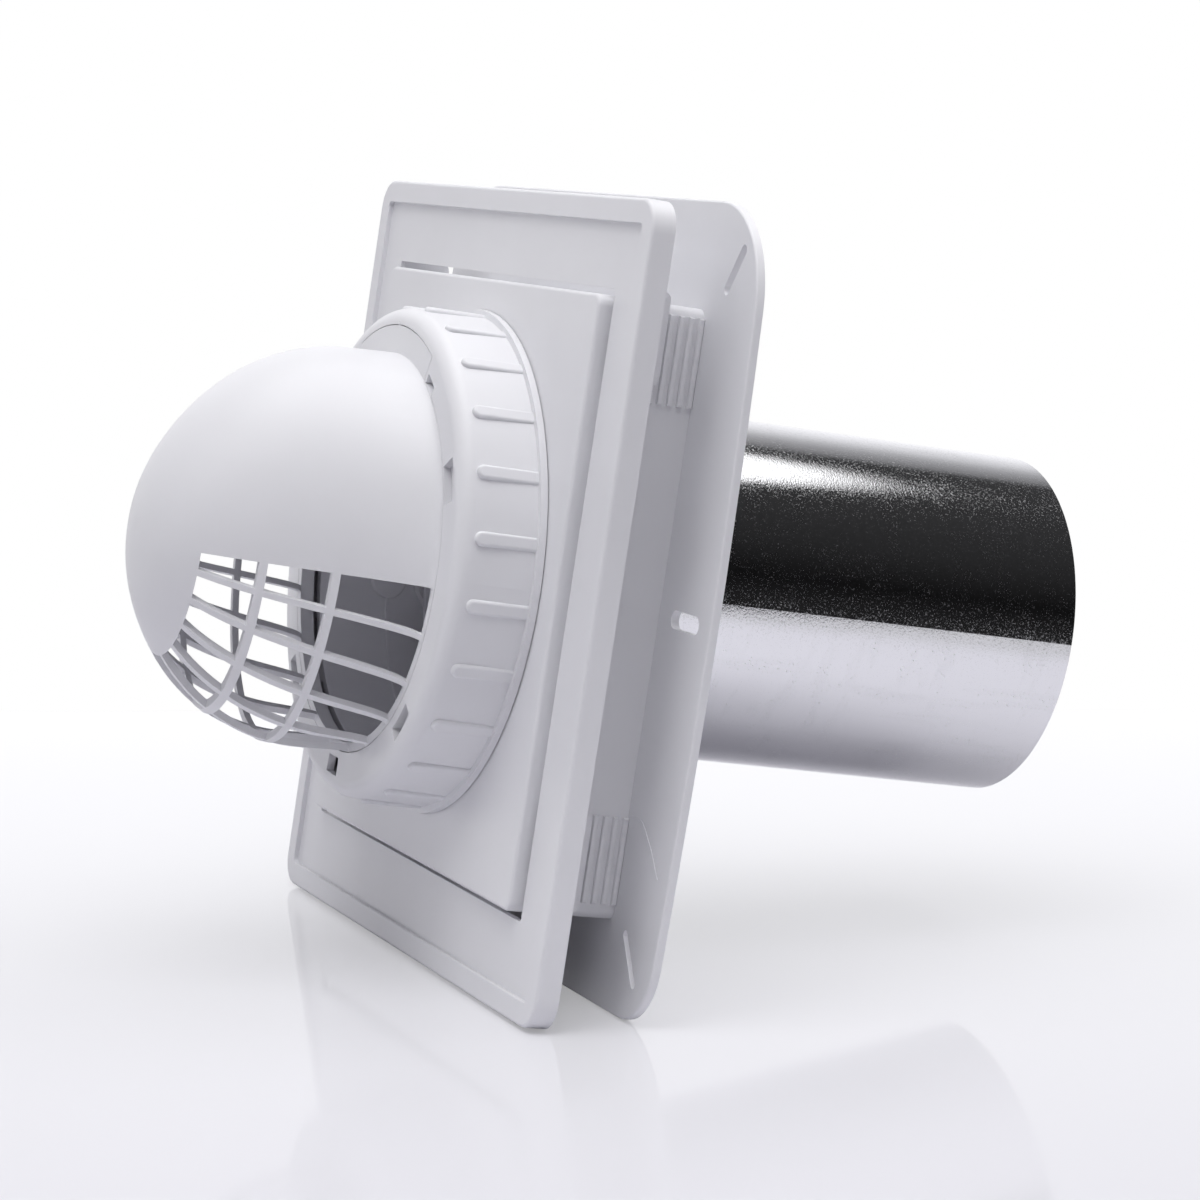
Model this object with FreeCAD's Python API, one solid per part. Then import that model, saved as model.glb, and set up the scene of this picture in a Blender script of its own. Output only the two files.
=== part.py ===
"""Dryer vent cap with a siding trim, a twist-off hood with a guard cage, a damper flap and a duct tail.

Frame: X runs to the right as seen from the front, +Y into the wall, +Z up. The origin is on the duct's
axis, in the plane of the nailing flange's back. Sizes are in millimetres.
"""
import FreeCAD, Part
import math
import os

V = FreeCAD.Vector
ORIGIN = V(0, 0, 0)
X_AXIS = V(1, 0, 0)
Y_AXIS = V(0, 1, 0)
Z_AXIS = V(0, 0, 1)

# general fits
seat_gap = 0.3
far_away = 400.0
cap_axis_z = -1.1

# duct tail
duct_d = 101.6
duct_wall = 0.5
duct_tail_length = 145.1
duct_bead_y = -2.8
duct_bead_rise = 1.5
duct_bead_width = 2.6
duct_collar_gap = 0.2

# nailing flange
flange_half_width = 112.5
flange_top = 110.0
flange_bottom = -111.0
flange_bow = 2.7
flange_thickness = 2.4
flange_top_corner_r = 30.0
flange_bottom_corner_r = 18.0
flange_edge_fillet = 0.7
nail_slot_z = -2.5
nail_slot_width = 5.0
nail_slot_box_margin = 8.0
nail_slot_edge_margin = 4.5
upper_slot_inset = 15.5
upper_slot_drop = 18.0
upper_slot_length = 16.0
upper_slot_width = 3.4
upper_slot_lean = 56.0
lower_slot_inset = 16.3
lower_slot_rise = 16.4
lower_slot_length = 17.4
lower_slot_width = 2.6
lower_slot_lean = -51.0

# box behind the trim
box_half_width = 82.0
box_top = 80.5
box_bottom = -87.0
box_front_y = -33.6
box_wall = 2.4
box_corner_r = 3.0
box_inner_corner_r = 0.6
box_edge_fillet = 1.0
box_rib_thickness = 1.8
box_rib_depth = 11.0
box_rib_count = 8

# ratchet pads on the box's sides
pad_rib_count = 5
pad_rib_pitch = 2.95
pad_rib_width = 1.5
pad_rib_height = 1.1
pad_first_y = -3.2
pad_upper_z = (53.5, 77.9)
pad_lower_z = (-82.6, -58.6)

# port that carries the ring
port_wall = 2.6
port_front_y = -52.0
port_step_y = -30.7
port_step_width = 1.2
port_step_rise = 0.5
wall_boss_r = 5.3
wall_boss_z = -11.9
wall_boss_rise = 2.0
locating_rim_width = 1.8
locating_rim_height = 2.4

# seat web behind the port and the collar that the duct slides over
seat_front_y = -17.0
seat_thickness = 2.4
seat_lip = 1.3
collar_wall = 2.3
collar_rear_y = 12.0
guide_front_y = -22.0
guide_half_height = 14.0
guide_foot = 8.4
guide_gap = 1.6

# damper
flap_lap = 2.1
flap_side_gap = 6.0
flap_thickness = 1.6
flap_top_drop = 5.6
flap_rib_width = 2.0
flap_rib_height = 1.2
flap_rim_width = 2.0
hinge_y = -19.0
hinge_drop = 3.8
hinge_pin_r = 1.0
hinge_pin_gap = 0.05
knuckle_r = 1.7
knuckle_half_length = 12.0
lug_side_gap = 0.4
lug_length = 4.1
lug_r = 2.3
pin_end_share = 0.75
seal_thickness = 1.2
seal_edge = 0.4
seal_width = 2.4
flap_open_angle = 38.0
flap_stop_reach = 4.0
flap_stop_half_length = 9.0
flap_stop_thickness = 2.0
flap_stop_gap = 0.15

# twist ring
ring_edge_width = 5.3
ring_taper = 0.7
ring_wall = 2.5
ring_front_y = -58.2
ring_shoulder_r = 4.4
ring_face_thickness = 2.2
ring_rim_rise = 1.9
ring_rim_width = 2.0
grip_count = 24
grip_first_angle = 5.0
grip_width = 4.0
grip_height = 1.3
grip_front_y = -53.6
grip_edge_fillet = 0.9

# windows in the ring's face: centre angle, angular width, inner edge's distance from the mouth
lug_windows = ((65.5, 11.0, 0.6), (132.3, 10.5, 2.9), (182.4, 7.6, 2.1), (227.7, 10.5, 2.9), (294.5, 11.0, 0.6))
small_windows = ((31.8, 6.4, -0.2), (328.2, 6.4, -0.2))
small_window_depth = 2.9
window_gap = 0.7
key_half_angle = 27.0
key_gap = 0.25
bayonet_reach = 6.5
bayonet_lap = 3.9
bayonet_thickness = 2.0

# hood
hood_base_inset = 0.6
hood_band_step = 0.2
hood_band_wall = 2.6
hood_wall = 2.0
hood_nose_y = -126.4
hood_nose_drop = 2.0
hood_shoulder_y = -72.5
hood_cut_z = -3.7
hood_plan_start = 0.481
hood_plan_end = 0.275
hood_flange_width = 3.4
hood_flange_thickness = 1.8
hood_sections = 15

# guard cage under the hood
cage_bar_count = 10
cage_bar_first = 108.5
cage_bar_last = 251.5
cage_bar_width = 1.7
cage_corner_r = 0.6
cage_hoop_y = (-81.9, -100.4)
cage_hoop_width = 2.2
cage_tongue_y = -115.7

# siding trim
trim_half_width = 105.2
trim_top = 106.8
trim_bottom = -114.8
trim_front_y = -31.6
trim_skirt_y = -24.8
trim_corner_r = 8.5
trim_field_corner_r = 1.8
trim_inner_corner_r = 6.5
trim_opening_corner_r = 0.5
trim_rim_width = 6.7
trim_rim_step = 1.5
trim_thickness = 2.0
trim_outer_fillet = 1.0
trim_inner_fillet = 0.3
trim_clearance = 2.0
pawl_thickness = 2.1
pawl_rear_y = -14.5
pawl_gap = 0.15
pawl_flex_gap = 0.35
pawl_tooth_run = 1.6
pawl_corner_r = 2.0
pawl_upper_z = (58.4, 83.5)
pawl_lower_z = (-85.0, -58.0)

# duct fixings
rivet_count = 4
rivet_first_angle = 45.0
rivet_y = -9.0
rivet_shank_r = 1.6
rivet_hole_gap = 0.05
rivet_head_r = 3.2
rivet_head_height = 1.2
rivet_tail_r = 2.3
rivet_tail_height = 0.7

duct_r = duct_d / 2
duct_inner_r = duct_r - duct_wall
collar_r = duct_inner_r - duct_collar_gap
collar_bore_r = collar_r - collar_wall
seat_opening_r = collar_bore_r - seat_lip
seal_inner_r = seat_opening_r + seal_edge
flap_r = seal_inner_r + flap_lap
port_inner_r = flap_r + flap_side_gap
port_outer_r = port_inner_r + port_wall
hinge_z = port_inner_r - hinge_drop
port_lug_r = port_outer_r + bayonet_reach
window_outer_r = port_lug_r + window_gap
key_r = window_outer_r
ring_front_r = window_outer_r + ring_edge_width
ring_rear_r = ring_front_r + ring_taper
hood_base_r = port_outer_r - hood_base_inset
hood_band_r = hood_base_r + hood_band_step
hood_flange_r = hood_band_r + hood_flange_width
ring_mouth_r = hood_band_r + seat_gap
ledge_inner_r = port_lug_r - bayonet_lap
box_inner_front_y = box_front_y + box_wall
seat_back_y = seat_front_y + seat_thickness
seal_front_y = seat_front_y - seal_thickness
flap_back_y = seal_front_y - seat_gap
flap_front_y = flap_back_y - flap_thickness
duct_front_y = seat_back_y + seat_gap
ring_back_y = box_front_y - seat_gap
ring_face_back_y = ring_front_y + ring_face_thickness
ring_bore_r = ring_front_r - ring_wall
lug_back_y = port_front_y + bayonet_thickness
ledge_front_y = lug_back_y + seat_gap
ledge_back_y = ledge_front_y + bayonet_thickness


def block(x0, x1, y0, y1, z0, z1):
    """A box between two corners."""
    return Part.makeBox(x1 - x0, y1 - y0, z1 - z0, V(x0, y0, z0))


def tube(outer_r, inner_r, y0, y1):
    """A ring about the duct's axis."""
    outer = Part.makeCylinder(outer_r, y1 - y0, V(0, y0, 0), Y_AXIS)
    return outer.cut(Part.makeCylinder(inner_r, y1 - y0, V(0, y0, 0), Y_AXIS))


def disc(radius, y0, y1):
    """A round plate about the duct's axis."""
    return Part.makeCylinder(radius, y1 - y0, V(0, y0, 0), Y_AXIS)


def on_cap_axis(shape):
    """A copy moved from the duct's axis to the cap's axis, which lies a little lower."""
    copy = shape.copy()
    copy.translate(V(0, 0, cap_axis_z))
    return copy


def turned(profile):
    """Revolve a closed (radius, y) polygon about the duct's axis."""
    points = [V(r, y, 0) for r, y in profile]
    face = Part.Face(Part.makePolygon(points + [points[0]]))
    return face.revolve(ORIGIN, Y_AXIS, 360)


def at_angle(shape, degrees):
    """A copy turned clockwise from the top, as seen from the front."""
    copy = shape.copy()
    copy.rotate(ORIGIN, Y_AXIS, degrees)
    return copy


def sector(inner_r, outer_r, y0, y1, centre, width):
    """A piece of a ring between two radial ends; angles clockwise from the top."""
    half = math.radians(width / 2)
    a = V(-math.sin(half), 0, math.cos(half))
    b = V(math.sin(half), 0, math.cos(half))
    top = V(0, 0, 1)
    edges = [
        Part.Arc(a * outer_r, top * outer_r, b * outer_r).toShape(),
        Part.LineSegment(b * outer_r, b * inner_r).toShape(),
        Part.Arc(b * inner_r, top * inner_r, a * inner_r).toShape(),
        Part.LineSegment(a * inner_r, a * outer_r).toShape(),
    ]
    face = Part.Face(Part.Wire(edges))
    face.translate(V(0, y0, 0))
    return at_angle(face.extrude(V(0, y1 - y0, 0)), centre)


def rounded_plate(x0, x1, z0, z1, y0, y1, corner_r):
    """A flat plate with four equal round corners."""
    plate = block(x0, x1, y0, y1, z0, z1)
    return plate.makeFillet(corner_r, edges_along_y(plate))


def edges_along_y(shape):
    """The straight edges that run along Y."""
    found = []
    for edge in shape.Edges:
        ends = edge.Vertexes
        if len(ends) == 2 and abs(ends[0].X - ends[1].X) + abs(ends[0].Z - ends[1].Z) < 1e-6:
            found.append(edge)
    return found


def edges_at_y(shape, y):
    """The edges that lie wholly in the plane at y."""
    return [e for e in shape.Edges if abs(e.BoundBox.YMin - y) < 1e-4 and abs(e.BoundBox.YMax - y) < 1e-4]


def mirrored(shape):
    """The shape's mirror image in the plane x = 0."""
    return shape.mirror(ORIGIN, X_AXIS)


def both_sides(shape):
    """A shape and its mirror image in the plane x = 0."""
    return [shape, mirrored(shape)]


def one_solid(shape):
    """The single solid of a boolean result."""
    merged = shape.removeSplitter()
    return merged.Solids[0] if len(merged.Solids) == 1 else merged


def stadium_slot(x, z, length, width, lean):
    """A straight slot with round ends through the flange; lean in degrees from the X axis."""
    half = (length - width) / 2
    body = block(-half, half, -flange_thickness - 1, 1, -width / 2, width / 2)
    for side in (-1, 1):
        end = Part.makeCylinder(width / 2, flange_thickness + 2, V(side * half, -flange_thickness - 1, 0), Y_AXIS)
        body = body.fuse(end)
    body.rotate(ORIGIN, Y_AXIS, -lean)
    body.translate(V(x, 0, z))
    return body


def flange_outline():
    """The flange's edge: straight top and foot, bowed sides and round corners that run smoothly into both."""
    mid_z = (flange_top + flange_bottom) / 2
    half_span = (flange_top - flange_bottom - flange_top_corner_r - flange_bottom_corner_r) / 2
    side_r = (half_span ** 2 + flange_bow ** 2) / (2 * flange_bow)
    side_mid = V(flange_half_width + flange_bow, 0, mid_z)
    side_centre = V(side_mid.x - side_r, 0, mid_z)

    def mirror(p):
        return V(-p.x, p.y, p.z)

    def corner(r, edge_z, up):
        """Start, middle and end of a corner's arc, from the side to the top or foot."""
        rise = edge_z - up * r - mid_z
        centre = V(side_centre.x + math.sqrt((side_r - r) ** 2 - rise ** 2), 0, mid_z + rise)
        outward = (centre - side_centre).normalize()
        diagonal = (outward + V(0, 0, up)).normalize()
        return centre + outward * r, centre + diagonal * r, centre + V(0, 0, up * r)

    top = corner(flange_top_corner_r, flange_top, 1)
    low = corner(flange_bottom_corner_r, flange_bottom, -1)
    edges = [
        Part.Arc(low[0], side_mid, top[0]),
        Part.Arc(*top),
        Part.LineSegment(top[2], mirror(top[2])),
        Part.Arc(mirror(top[2]), mirror(top[1]), mirror(top[0])),
        Part.Arc(mirror(top[0]), mirror(side_mid), mirror(low[0])),
        Part.Arc(mirror(low[0]), mirror(low[1]), mirror(low[2])),
        Part.LineSegment(mirror(low[2]), low[2]),
        Part.Arc(low[2], low[1], low[0]),
    ]
    return Part.Face(Part.Wire([e.toShape() for e in edges]))


def nailing_flange():
    """The flat flange with its nail slots, open where the box stands."""
    plate = flange_outline().extrude(V(0, -flange_thickness, 0))
    plate = plate.makeFillet(flange_edge_fillet, edges_at_y(plate, -flange_thickness))
    near = box_half_width + nail_slot_box_margin
    far = flange_half_width - nail_slot_edge_margin
    middle = stadium_slot((near + far) / 2, nail_slot_z, far - near, nail_slot_width, 0)
    upper = stadium_slot(flange_half_width - upper_slot_inset, flange_top - upper_slot_drop, upper_slot_length,
                         upper_slot_width, upper_slot_lean)
    lower = stadium_slot(flange_half_width - lower_slot_inset, flange_bottom + lower_slot_rise, lower_slot_length,
                         lower_slot_width, lower_slot_lean)
    for slot in (middle, upper, lower):
        for side in both_sides(slot):
            plate = plate.cut(side)
    return plate.cut(box_core())


def box_block(inset, front_y, rear_y, corner_r):
    """The box's outline, drawn in by an inset."""
    return rounded_plate(-box_half_width + inset, box_half_width - inset, box_bottom + inset, box_top - inset,
                         front_y, rear_y, corner_r)


def box_core():
    """The space inside the box, open to the back."""
    return box_block(box_wall, box_inner_front_y, 1.0, box_inner_corner_r)


def box_shell():
    """The box's walls and front, with a soft front edge."""
    outer = box_block(0, box_front_y, 0, box_corner_r)
    outer = outer.makeFillet(box_edge_fillet, edges_at_y(outer, box_front_y))
    return outer.cut(box_core())


def box_ribs():
    """Stiffening ribs between the port's tube and the box's walls."""
    rear_y = box_inner_front_y + box_rib_depth
    space = box_block(box_wall / 2, box_inner_front_y - 0.1, rear_y, box_inner_corner_r)
    space = space.cut(on_cap_axis(disc(port_outer_r - 0.5, box_front_y, rear_y + 1)))
    ribs = []
    for i in range(box_rib_count):
        slab = block(-box_rib_thickness / 2, box_rib_thickness / 2, box_front_y, 0, 0, far_away)
        ribs.append(at_angle(slab, 360.0 * i / box_rib_count).common(space))
    return ribs


def ratchet_pad(z0, z1):
    """A row of ratchet ribs on the box's right wall."""
    ribs = []
    for i in range(pad_rib_count):
        y = pad_first_y - i * pad_rib_pitch
        rib = block(box_half_width - 0.5, box_half_width + pad_rib_height, y - pad_rib_width / 2,
                    y + pad_rib_width / 2, z0, z1)
        outer = [e for e in rib.Edges if e.BoundBox.XMin > box_half_width + pad_rib_height - 1e-4]
        ribs.append(rib.makeFillet(pad_rib_height / 3, outer))
    return ribs


def port():
    """The turned port: tube with its moulded step, seat web, locating rim and bayonet lugs."""
    step_front = port_step_y - port_step_width / 2
    step_back = port_step_y + port_step_width / 2
    step_r = port_inner_r - port_step_rise
    body = turned([
        (port_inner_r, port_front_y),
        (port_outer_r, port_front_y),
        (port_outer_r, seat_back_y),
        (seat_opening_r, seat_back_y),
        (seat_opening_r, seat_front_y),
        (port_inner_r, seat_front_y),
        (port_inner_r, step_back),
        (step_r, step_back - port_step_rise / 2),
        (step_r, step_front + port_step_rise / 2),
        (port_inner_r, step_front),
    ])
    rim_r = ring_bore_r - seat_gap
    rim = tube(rim_r, rim_r - locating_rim_width, box_front_y - locating_rim_height, box_front_y + 0.2)
    body = body.fuse(rim)
    for angle, width, _ in lug_windows:
        body = body.fuse(sector(port_outer_r - 0.5, port_lug_r, port_front_y, lug_back_y, angle, width))
    return body


def duct_collar():
    """The collar behind the seat that the duct slides over, on the duct's own axis."""
    return tube(collar_r, collar_bore_r, seat_back_y - seat_thickness / 2, collar_rear_y)


def port_bore():
    """The hole through the box's front."""
    return disc(port_outer_r - 0.5, box_front_y - 1, box_inner_front_y + 1)


def wall_boss():
    """A round pad on the port's right inner wall."""
    across = math.sqrt(port_inner_r ** 2 - wall_boss_z ** 2)
    face_x = across - wall_boss_rise
    pad = Part.makeCylinder(wall_boss_r, port_outer_r - face_x, V(face_x, port_step_y, wall_boss_z), X_AXIS)
    rim = [e for e in pad.Edges if e.BoundBox.XMax < face_x + 1e-4]
    pad = pad.makeFillet(wall_boss_rise / 4, rim)
    return pad.common(disc(port_outer_r - 0.5, port_front_y, 0))


def flap_guide():
    """A cheek with a sloped head and foot that keeps the flap centred, in front of the seat's right side."""
    z = guide_half_height
    y = guide_front_y
    foot = z + guide_foot
    points = [V(0, seat_front_y + 0.2, -foot), V(0, y, -z), V(0, y, z), V(0, seat_front_y + 0.2, foot)]
    face = Part.Face(Part.makePolygon(points + [points[0]]))
    cheek = face.extrude(V(port_outer_r, 0, 0))
    return cheek.common(tube(port_outer_r - 0.5, flap_r + guide_gap, y - 1, seat_front_y + 1))


def hinge_lug():
    """The right lug that holds one end of the hinge pin in a blind hole."""
    x0 = knuckle_half_length + lug_side_gap
    lug = Part.makeCylinder(lug_r, lug_length, V(x0, hinge_y, hinge_z), X_AXIS)
    lug = lug.fuse(block(x0, x0 + lug_length, hinge_y - lug_r, seat_front_y + 0.2, hinge_z, port_outer_r))
    lug = lug.fuse(block(x0, x0 + lug_length, hinge_y, seat_front_y + 0.2, hinge_z - lug_r, hinge_z + 1))
    lug = lug.common(disc(port_outer_r - 0.5, box_front_y, 0))
    return lug.cut(pin_rod(hinge_pin_r + hinge_pin_gap, pin_half_length() + seat_gap))


def flap_stop():
    """The pad above the flap that the hinge tab meets when the flap is fully open."""
    angle = math.radians(flap_open_angle)
    depth = hinge_y - flap_front_y
    rear_y = hinge_y - depth * math.cos(angle) - flap_stop_reach * math.sin(angle) - flap_stop_gap
    low_z = hinge_z + depth * math.sin(angle) - flap_stop_reach * math.cos(angle)
    half = flap_stop_half_length
    pad = block(-half, half, rear_y - flap_stop_thickness, rear_y, low_z, port_outer_r)
    return pad.common(disc(port_outer_r - 0.5, box_front_y, 0))


def pin_half_length():
    """Half the hinge pin's length: it ends inside the lugs."""
    return knuckle_half_length + lug_side_gap + lug_length * pin_end_share


def pin_rod(radius, half_length):
    """A rod on the hinge's axis."""
    return Part.makeCylinder(radius, 2 * half_length, V(-half_length, hinge_y, hinge_z), X_AXIS)


def damper_seal():
    """The soft ring on the seat's front."""
    return on_cap_axis(tube(seal_inner_r + seal_width, seal_inner_r, seal_front_y, seat_front_y))


def rivet_angles():
    """The angles of the duct's fixings."""
    return [rivet_first_angle + 360.0 * i / rivet_count for i in range(rivet_count)]


def radial_pin(radius, r0, r1):
    """A pin that stands outwards at the rivets' place, at the top."""
    return Part.makeCylinder(radius, r1 - r0, V(0, rivet_y, r0), Z_AXIS)


def rivet_holes(shape):
    """A shape with the fixings' holes drilled."""
    for angle in rivet_angles():
        shape = shape.cut(at_angle(radial_pin(rivet_shank_r + rivet_hole_gap, collar_bore_r - 5, duct_r + 5), angle))
    return shape


def base_housing():
    """Flange, box, port, seat and duct collar in one moulding."""
    body = nailing_flange().fuse(box_shell()).cut(on_cap_axis(port_bore()))
    pieces = [on_cap_axis(port()), on_cap_axis(flap_stop()), duct_collar()] + box_ribs()
    for piece in (hinge_lug(), wall_boss(), flap_guide()):
        pieces += both_sides(on_cap_axis(piece))
    for span in (pad_upper_z, pad_lower_z):
        for rib in ratchet_pad(*span):
            pieces += both_sides(rib)
    body = body.multiFuse(pieces)
    return one_solid(rivet_holes(body))


def duct_pipe():
    """The thin sheet-metal duct with the rolled bead that stops a joining sleeve."""
    half = duct_bead_width / 2
    y = duct_bead_y
    peak = duct_r + duct_bead_rise
    body = turned([
        (duct_inner_r, duct_front_y),
        (duct_r, duct_front_y),
        (duct_r, y - half),
        (peak, y - half / 3),
        (peak, y + half / 3),
        (duct_r, y + half),
        (duct_r, duct_tail_length),
        (duct_inner_r, duct_tail_length),
        (duct_inner_r, y + half),
        (peak - duct_wall, y + half / 3),
        (peak - duct_wall, y - half / 3),
        (duct_inner_r, y - half),
    ])
    return one_solid(rivet_holes(body))


def duct_rivets():
    """The fixings through duct and collar, as one group of separate solids."""
    shank = radial_pin(rivet_shank_r, collar_bore_r - rivet_tail_height, duct_r + 0.1)
    head = radial_pin(rivet_head_r, duct_r + 0.05, duct_r + rivet_head_height)
    head = head.makeFillet(rivet_head_height * 0.6, [e for e in head.Edges if e.BoundBox.ZMin > duct_r + 1])
    tail = radial_pin(rivet_tail_r, collar_bore_r - rivet_tail_height, collar_bore_r - 0.15)
    flat_duct = disc(duct_r + 0.02, rivet_y - 10, rivet_y + 10)
    head = head.cut(flat_duct)
    rivet = shank.fuse(head).fuse(tail).removeSplitter()
    return Part.makeCompound([at_angle(rivet.Solids[0], angle) for angle in rivet_angles()])


def damper_flap():
    """The flap: a round plate cut straight at the top, with a rim, ribs and a hinge knuckle."""
    top_z = hinge_z - flap_top_drop
    below = block(-far_away, far_away, -far_away, far_away, -far_away, top_z)
    plate = disc(flap_r, flap_front_y, flap_back_y).common(below)
    rim = tube(flap_r, flap_r - flap_rim_width, flap_front_y - flap_rib_height, flap_front_y).common(below)
    half = flap_rib_width / 2
    reach = flap_r - flap_rim_width / 2
    rib_front = flap_front_y - flap_rib_height
    upright = block(-half, half, rib_front, flap_front_y, -reach, top_z)
    across = block(-reach, reach, rib_front, flap_front_y, -half, half)
    tab = block(-knuckle_half_length, knuckle_half_length, flap_front_y, flap_back_y, top_z - 1, hinge_z)
    barrel = Part.makeCylinder(knuckle_r, 2 * knuckle_half_length, V(-knuckle_half_length, hinge_y, hinge_z), X_AXIS)
    body = plate.multiFuse([rim, upright, across, tab, barrel])
    return on_cap_axis(one_solid(body.cut(pin_rod(hinge_pin_r + hinge_pin_gap, 2 * knuckle_half_length))))


def grip_rib():
    """One grip rib at the top of the ring: a pad with soft edges and a round front end."""
    half = grip_width / 2
    y_rear = ring_back_y - ring_rim_width / 2
    base_r = ring_front_r - 1.5
    rise = ring_front_r + grip_height - base_r
    pad = block(-half, half, grip_front_y + half, y_rear, base_r, base_r + rise)
    pad = pad.fuse(Part.makeCylinder(half, rise, V(0, grip_front_y + half, base_r), Z_AXIS)).removeSplitter()
    rim = [e for e in pad.Edges if e.BoundBox.ZMin > base_r + rise - 1e-4 and e.BoundBox.YMin < y_rear - 1]
    return pad.makeFillet(grip_edge_fillet, rim)


def ring_shell():
    """The ring's turned wall and face, with the round shoulder between them."""
    r_in = ring_bore_r
    shoulder = ring_shoulder_r
    centre = V(ring_front_r - shoulder, ring_front_y + shoulder, 0)
    diagonal = shoulder * math.sin(math.radians(45))
    inner = shoulder - ring_wall + 0.4
    inner_centre = V(r_in - inner, ring_face_back_y + inner, 0)
    inner_diagonal = inner * math.sin(math.radians(45))
    rear_r = ring_rear_r + ring_rim_rise
    rim_y = ring_back_y - ring_rim_width
    points = [
        V(ring_mouth_r, ring_face_back_y, 0),
        V(ring_mouth_r, ring_front_y, 0),
        V(centre.x, ring_front_y, 0),
        V(ring_front_r, centre.y, 0),
        V(ring_rear_r, rim_y, 0),
        V(rear_r, rim_y, 0),
        V(rear_r, ring_back_y, 0),
        V(r_in + 0.4, ring_back_y, 0),
        V(r_in, inner_centre.y, 0),
        V(inner_centre.x, ring_face_back_y, 0),
    ]
    outer_mid = V(centre.x + diagonal, centre.y - diagonal, 0)
    inner_mid = V(inner_centre.x + inner_diagonal, inner_centre.y - inner_diagonal, 0)
    edges = []
    for i, start in enumerate(points):
        end = points[(i + 1) % len(points)]
        if i == 2:
            edges.append(Part.Arc(start, outer_mid, end).toShape())
        elif i == 8:
            edges.append(Part.Arc(start, inner_mid, end).toShape())
        else:
            edges.append(Part.LineSegment(start, end).toShape())
    return Part.Face(Part.Wire(edges)).revolve(ORIGIN, Y_AXIS, 360)


def twist_ring():
    """The grip ring that locks the hood to the port."""
    body = ring_shell()
    rib = grip_rib()
    for i in range(grip_count):
        body = body.fuse(at_angle(rib, grip_first_angle + 360.0 * i / grip_count))
    y0 = ring_front_y - 1
    y1 = ring_face_back_y + 1
    body = body.cut(sector(ring_mouth_r - 2, key_r + key_gap, y0, y1, 0, 2 * key_half_angle))
    for angle, width, edge in lug_windows:
        body = body.cut(sector(ring_mouth_r + edge, window_outer_r, y0, y1, angle, width))
        body = body.fuse(sector(ledge_inner_r, ring_bore_r + 0.8, ledge_front_y, ledge_back_y, angle, width))
    for angle, width, edge in small_windows:
        body = body.cut(sector(ring_mouth_r + edge, ring_mouth_r + small_window_depth, y0, y1, angle, width))
    return on_cap_axis(one_solid(body))


def hood_centre(y):
    """The hood's centre line, which sinks evenly towards the nose."""
    return V(0, y, -hood_nose_drop * (ring_front_y - y) / (ring_front_y - hood_nose_y))


def hood_section(t, inset):
    """One upright oval section of the hood; t runs from the base (0) to the lower-lying nose (1)."""
    nose = hood_nose_y + inset
    y = ring_front_y + (nose - ring_front_y) * t
    r = hood_base_r - inset
    s = max(0.0, (hood_shoulder_y - y) / (hood_shoulder_y - nose))
    half_height = r * math.sqrt(1 - s * s)
    half_width = min(r * (1 - t ** hood_plan_start) ** hood_plan_end, half_height * 0.9995)
    centre = hood_centre(y)
    oval = Part.Ellipse(centre + V(0, 0, half_height), centre + V(half_width, 0, 0), centre)
    return Part.Wire(oval.toShape())


def hood_body(inset):
    """The hood's solid outline, drawn in by an inset; sections crowd towards the base and the nose."""
    sections = []
    for i in range(hood_sections):
        t = 0.5 - 0.5 * math.cos(math.pi * i / hood_sections)
        sections.append(hood_section(t, inset))
    tip = Part.Vertex(hood_centre(hood_nose_y + inset))
    return Part.makeLoft(sections + [tip], True, False)


def cage_sides():
    """The gaps' side planes in order: each stands at an angle and a distance from the axis."""
    step = (cage_bar_last - cage_bar_first) / (cage_bar_count - 1)
    bars = [(cage_bar_first + i * step, cage_bar_width / 2) for i in range(cage_bar_count)]
    return [(90.0, -hood_cut_z)] + bars + [(270.0, -hood_cut_z)]


def gap_wedge(first, second, y0, y1):
    """The wedge of space between two neighbouring bars, between two hoops."""
    rays = []
    for (angle, offset), sign in ((first, 1), (second, -1)):
        a = math.radians(angle)
        out = V(math.sin(a), 0, math.cos(a))
        across = V(math.cos(a), 0, -math.sin(a)) * (sign * offset)
        rays.append((across, out))
    (p, d), (q, e) = rays
    share = ((q.x - p.x) * e.z - (q.z - p.z) * e.x) / (d.x * e.z - d.z * e.x)
    apex = p + d * share
    reach = 2 * hood_base_r
    points = [apex, apex + d * reach, apex + e * reach]
    face = Part.Face(Part.makePolygon(points + [apex]))
    face.translate(V(0, y0, 0))
    return face.extrude(V(0, y1 - y0, 0))


def cage_gaps():
    """The open cells of the guard cage; the row at the base has round corners."""
    sides = cage_sides()
    half = cage_hoop_width / 2
    hoops = sorted(cage_hoop_y)
    rows = [(cage_tongue_y, hoops[0] - half), (hoops[0] + half, hoops[1] - half), (hoops[1] + half, ring_front_y)]
    cells = []
    for first, second in zip(sides, sides[1:]):
        for y0, y1 in rows:
            cell = gap_wedge(first, second, y0, y1)
            if y1 == ring_front_y:
                ends = edges_at_y(cell, y1)
                rays = [e for e in ends if min(v.Point.Length for v in e.Vertexes) < hood_base_r * 1.2]
                rays = [e for e in rays if e.Length > hood_base_r]
                cell = cell.makeFillet(cage_corner_r, rays)
            cells.append(cell)
    return cells


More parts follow.
